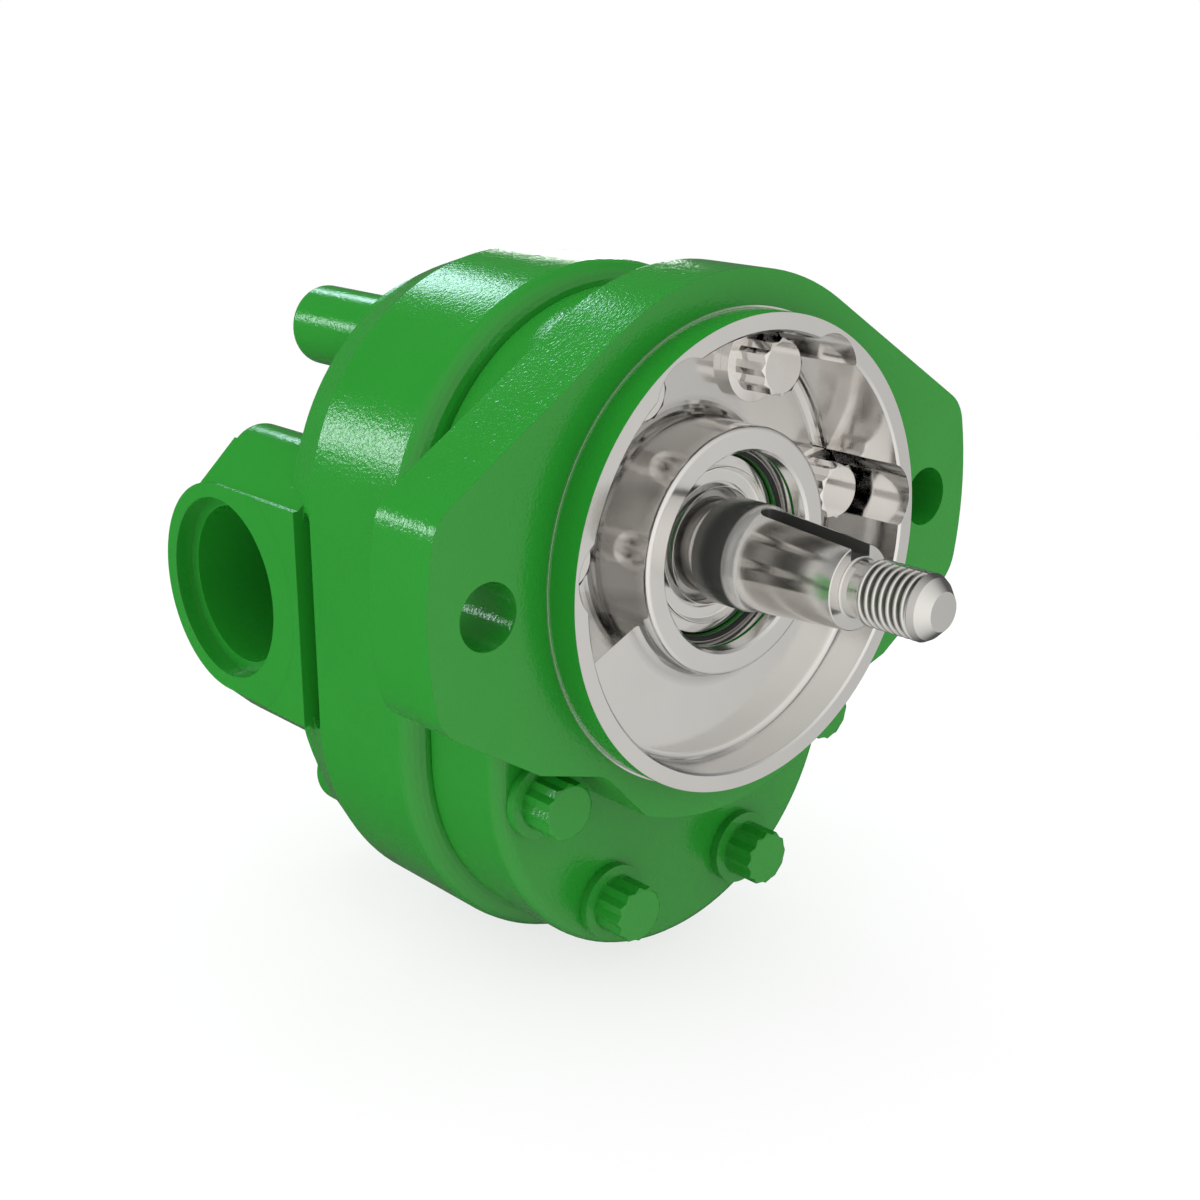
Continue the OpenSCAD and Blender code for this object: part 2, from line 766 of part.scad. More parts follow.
module plate_backup() {
    outer_r = plate_seal_r - plate_seal_w - seat_gap;
    outer_waist = plate_seal_waist - plate_seal_w - seat_gap;
    color("ivory") slab(joint_y - seal_section, joint_y) difference() {
        waisted(outer_r, outer_waist);
        waisted(outer_r - backup_w + seat_gap, outer_waist - backup_w + seat_gap);
    }
}

module body_seal() {
    color(black_rubber) slab(joint_y - seal_section, joint_y) difference() {
        oblong_outline(body_seal_r + body_seal_w);
        oblong_outline(body_seal_r);
    }
}

module dowel_pins() {
    color(bright_steel) both_sides() translate([dowel_x, 0, middle_z])
        turned([[0, joint_y - dowel_half], [dowel_r - bush_chamfer, joint_y - dowel_half],
            [dowel_r, joint_y - dowel_half + bush_chamfer], [dowel_r, joint_y + dowel_half - bush_chamfer],
            [dowel_r - bush_chamfer, joint_y + dowel_half], [0, joint_y + dowel_half]]);
}

module shaft_seal_jacket() {
    outer = seal_bore_r - seat_gap;
    front = jacket_front_y + jacket_edge;
    color(black_rubber) turned([[case_r, front], [case_r + jacket_edge, jacket_front_y],
        [outer - jacket_edge, jacket_front_y], [outer, front], [outer, seal_bore_depth],
        [case_r, seal_bore_depth]]);
}

// The pressed case: a cup with a shallow valley between a raised ring and the lip round its hole
module shaft_seal_case() {
    outer = case_r - seat_gap;
    ring_y = case_depth - case_ring_h;
    ring_outer = case_hole_r + case_ring_w;
    valley_y = case_depth - case_valley_h;
    color(bright_steel) turned(concat(
        [[outer, case_depth + case_edge], [outer - case_edge, case_depth], [ring_outer, case_depth]],
        arc(ring_outer - case_ring_edge, ring_y + case_ring_edge, case_ring_edge, 0, -90, 4),
        [[ring_outer - case_valley_outer, valley_y], [case_hole_r + case_valley_inner, valley_y]],
        arc(case_hole_r + case_hole_edge, ring_y + case_hole_edge, case_hole_edge, -90, -180, 4),
        [[case_hole_r, case_depth + case_wall - case_edge], [outer - case_wall, case_depth + case_wall],
            [outer - case_wall, seal_bore_depth], [outer, seal_bore_depth]]));
}

// A thin dust lip in front and a thick sealing lip behind, on one flexible web
module shaft_seal_lip() {
    web_r = case_hole_r + web_lap;
    color(black_rubber) turned([[lip_inner_r, lip_front_y], [lip_inner_r, lip_front_y + dust_lip_w],
        [lip_inner_r + throat, web_y], [lip_inner_r, lip_edge_y], [lip_inner_r, lip_edge_y + lip_edge_w],
        [lip_inner_r + dust_lip_w, web_y + lip_len], [lip_inner_r + lip_t, web_y + lip_len],
        [lip_inner_r + lip_t, web_y + web_t], [web_r, web_y + web_t], [web_r, web_y],
        [lip_outer_r, web_y], [lip_outer_r, lip_front_y + lip_slope]]);
}

module seal_spring() {
    color(bright_steel) rotate([-90, 0, 0]) rotate_extrude()
        translate([spring_centre_r, spring_y]) circle(spring_r, $fn = 24);
}

// The twelve-point outline of a screw head
module twelve_points() {
    for (a = [0, 30]) rotate(a) circle(head_r, $fn = 6);
}

// A flanged twelve-point cap screw at [x, z]
module cap_screw(p) {
    collar_y = seat_depth - collar_h;
    head_y = collar_y - head_h;
    translate([p[0], 0, p[1]]) {
        turned([[0, collar_y], [collar_r - collar_slope_w, collar_y], [collar_r, collar_y + collar_slope],
            [collar_r, seat_depth], [screw_r, seat_depth], [screw_r, screw_end_y - screw_tip_chamfer],
            [screw_r - screw_tip_chamfer, screw_end_y], [0, screw_end_y]]);
        slab(head_y + head_crown, collar_y + collar_slope) twelve_points();
        intersection() {
            slab(head_y, head_y + head_crown) twelve_points();
            turned([[0, head_y], [head_r - 2 * head_crown, head_y], [head_r, head_y + head_crown],
                [0, head_y + head_crown]]);
        }
    }
}

module recess_cap_screws() {
    color(bright_steel) for (p = recess_screws) cap_screw(p);
}

module lower_cap_screws() {
    color(paint_green) for (p = lower_screws) cap_screw(p);
}

front_cover();
pump_body();
drive_shaft();
drive_gear();
gear_key();
idler_shaft();
idler_gear();
front_drive_bush();
front_idler_bush();
rear_drive_bush();
rear_idler_bush();
front_wear_plate();
rear_wear_plate();
plate_seal();
plate_backup();
body_seal();
dowel_pins();
shaft_seal_jacket();
shaft_seal_case();
shaft_seal_lip();
seal_spring();
recess_cap_screws();
lower_cap_screws();
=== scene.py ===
import json
import math

import bpy
import numpy as np
from mathutils import Euler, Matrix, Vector

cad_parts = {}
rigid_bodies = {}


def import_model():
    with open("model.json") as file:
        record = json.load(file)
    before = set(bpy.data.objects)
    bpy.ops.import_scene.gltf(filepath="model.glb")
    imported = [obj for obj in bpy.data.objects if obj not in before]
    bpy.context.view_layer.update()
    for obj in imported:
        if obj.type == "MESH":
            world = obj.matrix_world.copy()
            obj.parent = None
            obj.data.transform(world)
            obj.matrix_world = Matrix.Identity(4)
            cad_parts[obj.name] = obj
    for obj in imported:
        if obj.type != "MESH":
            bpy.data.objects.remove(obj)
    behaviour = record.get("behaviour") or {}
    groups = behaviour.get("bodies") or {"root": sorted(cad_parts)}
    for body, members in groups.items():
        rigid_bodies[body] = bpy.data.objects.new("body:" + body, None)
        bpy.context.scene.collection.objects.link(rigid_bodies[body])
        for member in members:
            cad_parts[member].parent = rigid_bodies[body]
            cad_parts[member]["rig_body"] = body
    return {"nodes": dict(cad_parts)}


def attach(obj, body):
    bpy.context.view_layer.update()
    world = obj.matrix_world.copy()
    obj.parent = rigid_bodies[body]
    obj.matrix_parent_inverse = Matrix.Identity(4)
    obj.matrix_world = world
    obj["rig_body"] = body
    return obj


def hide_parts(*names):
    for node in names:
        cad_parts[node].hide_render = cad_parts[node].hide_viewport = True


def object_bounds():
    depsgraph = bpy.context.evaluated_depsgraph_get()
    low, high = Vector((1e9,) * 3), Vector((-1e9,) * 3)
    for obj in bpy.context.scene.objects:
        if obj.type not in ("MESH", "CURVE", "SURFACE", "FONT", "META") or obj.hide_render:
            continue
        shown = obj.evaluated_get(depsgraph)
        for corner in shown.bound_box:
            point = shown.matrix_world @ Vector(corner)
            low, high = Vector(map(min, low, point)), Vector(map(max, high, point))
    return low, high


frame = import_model()
nodes = frame["nodes"]
cadLow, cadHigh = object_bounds()
mm = 0.001
print("frame loaded:", len(nodes), "nodes")

softStep = 0.05 * mm
bevelSamples = 4
refraction = 1.5
white = (1.0, 1.0, 1.0, 1.0)


# A shader socket that can stand in a sum: each operator adds its Math node
class Link:
    def __init__(self, maker, socket):
        self.maker = maker
        self.socket = socket

    def maths(self, operation, first, second=0.0):
        return self.maker.node("ShaderNodeMath", {"operation": operation}, {0: first, 1: second})

    def __add__(self, other):
        return self.maths("ADD", self, other)

    def __radd__(self, other):
        return self.maths("ADD", other, self)

    def __sub__(self, other):
        return self.maths("SUBTRACT", self, other)

    def __rsub__(self, other):
        return self.maths("SUBTRACT", other, self)

    def __mul__(self, other):
        return self.maths("MULTIPLY", self, other)

    def __truediv__(self, other):
        return self.maths("DIVIDE", self, other)

    def __pow__(self, other):
        return self.maths("POWER", self, other)

    def __abs__(self):
        return self.maths("ABSOLUTE", self)

    def lesser(self, other):
        return self.maths("MINIMUM", self, other)

    def greater(self, other):
        return self.maths("MAXIMUM", self, other)

    def kept(self):
        return self.greater(0.0).lesser(1.0)


# Makes the nodes of one material or world
class Maker:
    def __init__(self, owner):
        owner.use_nodes = True
        self.tree = owner.node_tree
        self.tree.nodes.clear()

    def node(self, kind, settings=None, sockets=None, output=0):
        made = self.tree.nodes.new(kind)
        for key, value in (settings or {}).items():
            setattr(made, key, value)
        for key, value in (sockets or {}).items():
            if isinstance(value, Link):
                self.tree.links.new(value.socket, made.inputs[key])
            else:
                made.inputs[key].default_value = value
        return Link(self, made.outputs[output]) if made.outputs else None

    def split(self, vector):
        return [self.node("ShaderNodeSeparateXYZ", sockets={0: vector}, output=i) for i in range(3)]

    def stretched(self, vector, scale):
        return self.node("ShaderNodeMapping", {"vector_type": "POINT"}, {"Vector": vector, "Scale": scale})

    def noise(self, vector, scale, detail=3.0, roughness=0.5, distortion=0.0):
        return self.node("ShaderNodeTexNoise", {"noise_dimensions": "3D"},
                         {"Vector": vector, "Scale": scale, "Detail": detail, "Roughness": roughness,
                          "Distortion": distortion})

    # A Mix node's colours are its sockets 6 and 7, and the mixed colour is its output 2
    def blend(self, factor, first, second, way="MIX"):
        return self.node("ShaderNodeMix", {"data_type": "RGBA", "blend_type": way},
                         {0: factor, 6: first, 7: second}, output=2)

    def brighter(self, colour, factor):
        grey = self.node("ShaderNodeCombineColor", sockets={0: factor, 1: factor, 2: factor})
        return self.blend(1.0, colour, grey, "MULTIPLY")

    # 1 where the value is under the edge, 0 over it, with a soft step as wide as blur
    def under(self, value, edge, blur=softStep):
        return ((edge - value) / blur + 0.5).kept()

    def over(self, value, edge, blur=softStep):
        return ((value - edge) / blur + 0.5).kept()

    def between(self, value, span):
        return self.over(value, span[0]) * self.under(value, span[1])

    def finish(self, sockets, height, relief, edge):
        rounded = self.node("ShaderNodeBevel", {"samples": bevelSamples}, {"Radius": edge})
        normal = self.node("ShaderNodeBump", sockets={"Strength": 1.0, "Distance": relief,
                                                      "Height": height, "Normal": rounded})
        shader = self.node("ShaderNodeBsdfPrincipled", sockets={**sockets, "Normal": normal})
        self.node("ShaderNodeOutputMaterial", sockets={"Surface": shader})


def newMaterial(name):
    material = bpy.data.materials.new(name)
    return material, Maker(material)


def objectPlace(make):
    return make.node("ShaderNodeTexCoord", output="Object")


def opaque(colour):
    return (*colour, 1.0)


# How far a point is from an axis, from its two coordinates across it
def distance(across, up):
    return (across * across + up * up) ** 0.5


# A pair for a shade or a roughness gives its least and how much a texture adds
def moved(pair, texture):
    return pair[0] + texture * pair[1]


# Green paint over the castings and the outer screws, with the fine waves that spraying leaves
paint = {
    "colour": (0.017, 0.258, 0.022),
    "mottle": 60.0,
    "shade": (0.94, 0.12),
    "roughness": (0.11, 0.06),
    "peel": {"scale": 1500.0, "detail": 2.5, "roughness": 0.55, "distortion": 0.4},
    "swell": {"scale": 450.0, "detail": 1.0},
    "peelShare": 0.75,
    "height": 0.09 * mm,
    "edge": 0.15 * mm,
}


def paintLayer(make, place):
    mottle = make.noise(place, paint["mottle"])
    colour = make.brighter(opaque(paint["colour"]), moved(paint["shade"], mottle))
    peel = make.noise(place, **paint["peel"]) * paint["peelShare"]
    swell = make.noise(place, **paint["swell"]) * (1.0 - paint["peelShare"])
    return colour, moved(paint["roughness"], mottle), peel + swell


# The castings' bare metal, with painted shade on the wall of the seal boss, down in the recess and deep in
# the pockets that clear the upper screws. A start is a place along Y and the width of its step.
bareMetal = {
    "colour": (0.80, 0.79, 0.775),
    "cloud": 120.0,
    "shade": (0.96, 0.08),
    "roughness": (0.09, 0.08),
    "grain": 900.0,
    "grainShare": 0.05,
    "wall": (21.7 * mm, 24.2 * mm),
    "wallFade": 1.5 * mm,
    "wallStart": (0.0, 2.0 * mm),
    "wallShade": 0.2,
    "deepStart": (9.0 * mm, 6.0 * mm),
    "deepShade": 0.16,
    "pocketCentres": [(16.65 * mm, 28.84 * mm), (33.09 * mm, 3.71 * mm)],
    "pocketWall": (7.1 * mm, 7.3 * mm),
    "pocketStart": (3.5 * mm, 3.0 * mm),
    "pocketEnd": 12.5 * mm,
    "pocketShade": 0.8,
}
grainRoughness = 0.6


# Where the painted shade on the walls of the screw pockets falls
def pocketWalls(make, x, y, z):
    centres = bareMetal["pocketCentres"]
    first, second = (distance(abs(x) - centreX, z - centreZ) for centreX, centreZ in centres)
    wall = make.between(first.lesser(second), bareMetal["pocketWall"])
    return wall * make.over(y, *bareMetal["pocketStart"]) * make.under(y, bareMetal["pocketEnd"])


def metalLayer(make, place, radius):
    x, y, z = make.split(place)
    cloud = make.noise(place, bareMetal["cloud"])
    inner, outer = bareMetal["wall"]
    wall = make.over(radius, inner) * make.under(radius, outer, bareMetal["wallFade"])
    wall = wall * make.over(y, *bareMetal["wallStart"])
    deep = make.over(y, *bareMetal["deepStart"])
    # Painted shade: the boss wall, the deep recess and the screw pockets are darkened in the colour
    shade = moved(bareMetal["shade"], cloud) * (1.0 - wall * bareMetal["wallShade"])
    shade = shade * (1.0 - deep * bareMetal["deepShade"])
    shade = shade * (1.0 - pocketWalls(make, x, y, z) * bareMetal["pocketShade"])
    colour = make.brighter(opaque(bareMetal["colour"]), shade)
    grain = make.noise(place, bareMetal["grain"], roughness=grainRoughness)
    return colour, moved(bareMetal["roughness"], cloud), grain * bareMetal["grainShare"]


# Where the castings are bare, as distances from the axes, from the line between them, and along Y
idlerZ = -36.5 * mm
bareFront = {"radius": 41.2 * mm, "end": 13.0 * mm}
bareFoot = {"radius": (41.3 * mm, 41.65 * mm), "y": 0.15 * mm}
paintedGroove = {"radius": (17.45 * mm, 18.0 * mm), "y": (0.95 * mm, 1.75 * mm)}
coverBores = {"radius": 12.2 * mm, "start": 10.0 * mm}
bareJoint = {"reach": 41.2 * mm, "cover": 31.07 * mm, "body": 31.13 * mm}
bodyChamber = {"radius": 21.6 * mm, "end": 58.4 * mm}
bodySeats = {"radius": 12.3 * mm, "end": 73.0 * mm}


def castingMaterial(name, bareFaces):
    material, make = newMaterial(name)
    place = objectPlace(make)
    x, y, z = make.split(place)
    radius = distance(x, z)
    lowerRadius = distance(x, z - idlerZ)
    reach = distance(x, z - z.lesser(0.0).greater(idlerZ))
    bare = bareFaces(make, radius, lowerRadius, reach, y).kept()
    keep = 1.0 - bare
    green, greenRoughness, greenHeight = paintLayer(make, place)
    silver, silverRoughness, silverHeight = metalLayer(make, place, radius)
    make.finish({
        "Base Color": make.blend(bare, green, silver),
        "Metallic": bare,
        "Roughness": greenRoughness * keep + silverRoughness * bare,
        "IOR": refraction,
    }, greenHeight * keep + silverHeight * bare, paint["height"], paint["edge"])
    return material


# The machined front less its groove, the line round the pilot's foot, the bores and the joint face
def bareOnCover(make, radius, lowerRadius, reach, y):
    front = make.under(radius, bareFront["radius"]) * make.under(y, bareFront["end"])
    groove = make.between(radius, paintedGroove["radius"]) * make.between(y, paintedGroove["y"])
    foot = make.between(radius, bareFoot["radius"]) * make.under(abs(y), bareFoot["y"])
    bores = make.under(radius.lesser(lowerRadius), coverBores["radius"]) * make.over(y, coverBores["start"])
    joint = make.over(y, bareJoint["cover"]) * make.under(reach, bareJoint["reach"])
    return front * (1.0 - groove) + foot + bores + joint


# The joint face and the gear chamber with its bush seats
def bareOnBody(make, radius, lowerRadius, reach, y):
    joint = make.under(y, bareJoint["body"]) * make.under(reach, bareJoint["reach"])
    nearest = radius.lesser(lowerRadius)
    chamber = make.under(nearest, bodyChamber["radius"]) * make.under(y, bodyChamber["end"])
    seats = make.under(nearest, bodySeats["radius"]) * make.under(y, bodySeats["end"])
    return joint + chamber + seats


def paintedScrewMaterial():
    material, make = newMaterial("paintedScrews")
    colour, roughness, height = paintLayer(make, objectPlace(make))
    make.finish({"Base Color": colour, "Roughness": roughness, "IOR": refraction},
                height, paint["height"], paint["edge"])
    return material


# Turned, ground or pressed metal, with fine rings round the Y axis over soft clouds. A share tells
# how much the clouds and the rings add.
metals = {
    "gearSteel": {"colour": (0.42, 0.41, 0.40), "roughness": 0.25, "lines": 1500.0, "height": 0.006 * mm},
    "bushBronze": {"colour": (0.70, 0.46, 0.22), "roughness": 0.27, "lines": 1400.0, "height": 0.008 * mm},
    "plateBronze": {"colour": (0.66, 0.42, 0.20), "roughness": 0.31, "lines": 1000.0, "height": 0.008 * mm},
    "pressedCase": {"colour": (0.80, 0.79, 0.775), "roughness": 0.08, "lines": 1800.0, "height": 0.003 * mm},
    "brightScrews": {"colour": (0.82, 0.80, 0.78), "roughness": 0.07, "lines": 1500.0, "height": 0.003 * mm},
}
marks = {
    "cloud": 150.0,
    "stretch": (0.05, 1.0, 0.05),
    "ringRoughness": 0.65,
    "shade": 0.93,
    "shadeShare": (0.1, 0.04),
    "sheenShare": (0.06, 0.04),
    "edge": 0.12 * mm,
}
# Painted highlights on the seal case's lip and its raised ring
highlightRings = {"radii": [(10.1 * mm, 10.6 * mm), (13.0 * mm, 13.9 * mm)], "shade": 0.22}


def turnedMarks(make, place, lines):
    cloud = make.noise(place, marks["cloud"])
    rings = make.noise(make.stretched(place, marks["stretch"]), lines, roughness=marks["ringRoughness"])
    return cloud, rings


def marked(base, share, cloud, rings):
    return base + cloud * share[0] + rings * share[1]


def metalMaterial(name):
    look = metals[name]
    material, make = newMaterial(name)
    place = objectPlace(make)
    cloud, rings = turnedMarks(make, place, look["lines"])
    shade = marked(marks["shade"], marks["shadeShare"], cloud, rings)
    if name == "pressedCase":
        x, _, z = make.split(place)
        radius = distance(x, z)
        # Painted highlights: the lip and the raised ring are lightened in the colour
        for span in highlightRings["radii"]:
            shade = shade + make.between(radius, span) * highlightRings["shade"]
    make.finish({
        "Base Color": make.brighter(opaque(look["colour"]), shade),
        "Metallic": 1.0,
        "Roughness": marked(look["roughness"], marks["sheenShare"], cloud, rings),
    }, rings, look["height"], marks["edge"])
    return material


# The drive shaft: bright ground steel, with painted shade as a dark colour on the land and in the keyway,
# painted shade down in the thread, a painted highlight band between the land and the taper, and painted
# shade on the band behind the tip's bend
groundSteel = {
    "colour": (0.76, 0.75, 0.73),
    "darkColour": (0.13, 0.13, 0.125),
    # A dark, partly non-metal colour painted on the land and in the keyway as painted shade
    "paintedDarkColour": (0.105, 0.104, 0.1),
    # A painted highlight: a lighter, partly non-metal band between the land and the taper
    "highlightColour": (0.66, 0.65, 0.63),
    "satin": (-9.4 * mm, -7.2 * mm),
    "highlightFade": 2.0 * mm,
    # The band behind the tip's bend takes painted shade
    "tipBand": (-43.1 * mm, -42.1 * mm),
    "bandShade": 0.25,
    "land": (-7.0 * mm, 0.6 * mm),
    "landFade": 1.4 * mm,
    "paintedDarkShare": 0.5,
    "paintedDarkRoughness": 0.1,
    "taper": (-28.2 * mm, 7.2 * mm),
    "taperSlope": 0.0785,
    "skin": 0.12 * mm,
    "keywayHalf": 2.35 * mm,
    "keywayFloor": 4.7 * mm,
    "thread": (-42.0 * mm, -32.3 * mm),
    "threadDepth": 0.86 * mm,
    "threadRadius": 5.555 * mm,
    # Painted shade in the thread's grooves
    "threadDark": (-0.25, 1.3),
    "threadShade": 0.9,
    "threadRoughness": 0.08,
    "shade": 0.94,
    "shadeShare": (0.08, 0.04),
    "roughness": 0.09,
    "sheenShare": (0.05, 0.04),
    "lines": 2600.0,
    "height": 0.003 * mm,
    "edge": 0.06 * mm,
}


def shaftMaterial():
    look = groundSteel
    material, make = newMaterial("groundSteel")
    place = objectPlace(make)
    x, y, z = make.split(place)
    radius = distance(x, z)
    cloud, rings = turnedMarks(make, place, look["lines"])
    landStart, landEnd = look["land"]
    land = make.over(y, landStart, look["landFade"]) * make.under(y, landEnd)
    taperY, taperRadius = look["taper"]
    skin = taperRadius - look["skin"] + (y - taperY) * look["taperSlope"]
    slot = make.under(radius, skin) * make.under(abs(x), look["keywayHalf"])
    slot = slot * make.over(z, look["keywayFloor"]) * make.between(y, (taperY, landStart))
    # Painted shade down in the thread: the deeper the groove, the darker its colour
    depth = moved(look["threadDark"], (look["threadRadius"] - radius) / look["threadDepth"]).kept()
    depth = depth * make.between(y, look["thread"])
    # Painted shade: the land and the keyway take the dark colour and lose part of their metal look
    paintedDark = (land + slot).kept()
    # Painted highlight on the band between the land and the taper
    highlightStart, highlightEnd = look["satin"]
    satin = make.over(y, highlightStart, look["highlightFade"]) * make.under(y, highlightEnd, look["landFade"])
    satin = satin * (1.0 - slot)
    # Painted shade on the band behind the tip's bend
    band = make.between(y, look["tipBand"])
    steel = make.blend(depth * look["threadShade"], opaque(look["colour"]), opaque(look["darkColour"]))
    steel = make.blend(paintedDark, steel, opaque(look["paintedDarkColour"]))
    steel = make.blend(satin, steel, opaque(look["highlightColour"]))
    shade = marked(look["shade"], look["shadeShare"], cloud, rings) * (1.0 - band * look["bandShade"])
    roughness = marked(look["roughness"], look["sheenShare"], cloud, rings)
    make.finish({
        "Base Color": make.brighter(steel, shade),
        "Metallic": 1.0 - (paintedDark + satin).kept() * look["paintedDarkShare"],
        "Roughness": roughness + depth * look["threadRoughness"] + paintedDark * look["paintedDarkRoughness"],
    }, rings, look["height"], look["edge"])
    return material


# Rubber and hard plastic of the seals. The inner wall of the shaft seal's jacket is green near its back,
# its front edge is worn bright, and the seal's lips are under a film of grey metal dust.
softs = {
    "sealRubber": {"colour": (0.012, 0.012, 0.013), "roughness": (0.44, 0.12), "grain": 2200.0,
                   "height": 0.012 * mm},
    "backupPlastic": {"colour": (0.72, 0.66, 0.50), "roughness": (0.32, 0.12), "grain": 1300.0,
                      "height": 0.006 * mm},
}
softMarks = {"cloud": 200.0, "shade": (0.85, 0.3), "edge": 0.1 * mm}
sealTraces = {
    "greenWallRadius": (16.0 * mm, 16.3 * mm),
    "greenWallStart": (4.1 * mm, 0.2 * mm),
    "greenWallEnd": 5.1 * mm,
    "wornRadius": 16.95 * mm,
    "wornEnd": 3.8 * mm,
    "lipRadius": 11.0 * mm,
    "lipEnd": 12.0 * mm,
    "dust": (0.42, 0.41, 0.40),
    "gloss": 0.25,
}


def softMaterial(name):
    look = softs[name]
    material, make = newMaterial(name)
    place = objectPlace(make)
    cloud = make.noise(place, softMarks["cloud"])
    grain = make.noise(place, look["grain"], roughness=grainRoughness)
    colour, metallic, roughness = opaque(look["colour"]), 0.0, moved(look["roughness"], cloud)
    if name == "sealRubber":
        x, y, z = make.split(place)
        radius = distance(x, z)
        greenWall = make.between(radius, sealTraces["greenWallRadius"]) * make.under(y, sealTraces["greenWallEnd"])
        greenWall = greenWall * make.over(y, *sealTraces["greenWallStart"])
        worn = make.over(radius, sealTraces["wornRadius"]) * make.under(y, sealTraces["wornEnd"])
        lips = make.under(radius, sealTraces["lipRadius"]) * make.under(y, sealTraces["lipEnd"])
        metallic = (lips + worn).kept()
        colour = make.blend(greenWall, colour, opaque(paint["colour"]))
        colour = make.blend(metallic, colour, opaque(sealTraces["dust"]))
        roughness = roughness - (greenWall + metallic) * sealTraces["gloss"]
    make.finish({
        "Base Color": make.brighter(colour, moved(softMarks["shade"], cloud)),
        "Metallic": metallic,
        "Roughness": roughness,
        "IOR": refraction,
    }, grain, look["height"], softMarks["edge"])
    return material


# The finish that each material slot takes
finishes = {
    "cover_casting": castingMaterial("coverCasting", bareOnCover),
    "body_casting": castingMaterial("bodyCasting", bareOnBody),
    "shaft_steel": shaftMaterial(),
    "gear_steel": metalMaterial("gearSteel"),
    "bush_bronze": metalMaterial("bushBronze"),
    "plate_bronze": metalMaterial("plateBronze"),
    "seal_rubber": softMaterial("sealRubber"),
    "backup_plastic": softMaterial("backupPlastic"),
    "seal_case": metalMaterial("pressedCase"),
    "bright_screws": metalMaterial("brightScrews"),
    "painted_screws": paintedScrewMaterial(),
}
slotOfNode = {}
for name, piece in nodes.items():
    slotOfNode[name] = piece.data.materials[0].name
    piece.data.materials[0] = finishes[slotOfNode[name]]
print("materials made:", len(finishes))


# Puts rows of points into a mesh: quads join each row to the next, round a closed loop, and a fan
# closes the first and the last row
def meshFromRows(name, rows, closedRows=False, caps=True):
    count, around = rows.shape[:2]
    points = rows.reshape(-1, 3)
    row = np.arange(count if closedRows else count - 1)[:, None]
    column = np.arange(around)[None, :]
    nextRow = (row + 1) % count
    nextColumn = (column + 1) % around
    quads = np.stack([row * around + column, row * around + nextColumn,
                      nextRow * around + nextColumn, nextRow * around + column], axis=-1).reshape(-1, 4)
    faces = quads.tolist()
    if caps:
        ends = np.arange(around)
        after = (ends + 1) % around
        first = len(points)
        last = (count - 1) * around
        points = np.vstack([points, rows[0].mean(axis=0), rows[-1].mean(axis=0)])
        faces += np.stack([np.full(around, first), after, ends], axis=-1).tolist()
        faces += np.stack([np.full(around, first + 1), last + ends, last + after], axis=-1).tolist()
    mesh = bpy.data.meshes.new(name)
    mesh.from_pydata(points.tolist(), [], faces)
    mesh.update()
    return mesh


def addPiece(name, mesh, replaced, sharpAngle):
    piece = bpy.data.objects.new(name, mesh)
    bpy.context.scene.collection.objects.link(piece)
    mesh.materials.append(finishes[slotOfNode[replaced]])
    mesh.polygons.foreach_set("use_smooth", np.ones(len(mesh.polygons), dtype=bool))
    mesh.set_sharp_from_angle(angle=math.radians(sharpAngle))
    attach(piece, nodes[replaced]["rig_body"])
    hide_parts(replaced)
    return piece


# Drive shaft, in millimetres along Y and across, with its thread cut as a true helix. A slot that
# is shut is as wide as shutHalf.
shaft = {
    "tip": -45.0,
    "tipFlat": 3.2,
    "tipBend": (-43.1, 5.0),
    "thread": (-42.1, 5.555),
    "turns": 7,
    "pitch": 1.41,
    "threadDepth": 0.86,
    "fadeTurns": 0.5,
    "crestSpread": 1.4,
    "neck": 4.75,
    "neckSlope": 0.6,
    "neckFillet": 0.5,
    "taperStart": (-28.2, 7.2),
    "taperEnd": (-9.1, 8.7),
    "taperEdge": 0.15,
    "land": (-6.2, 9.3),
    "landEnd": 0.5,
    "landEdge": 0.3,
    "sealJournal": (12.8, 8.3),
    "journal": 9.525,
    "rear": 71.5,
    "rearEdge": 1.0,
    "keyway": {"start": -28.2, "end": -7.4, "half": 2.25, "floor": 4.9, "round": True},
    "keySeat": {"start": 37.65, "end": 51.75, "half": 2.43, "floor": 7.475, "round": False},
    "shutHalf": 0.35,
    "shutSpread": 0.98,
    "columns": 180,
    "stepsPerTurn": 24,
    "filletStations": 7,
    "riseStations": 13,
    "edgeStations": 6,
    "roundStations": 9,
    "sharpAngle": 28,
}


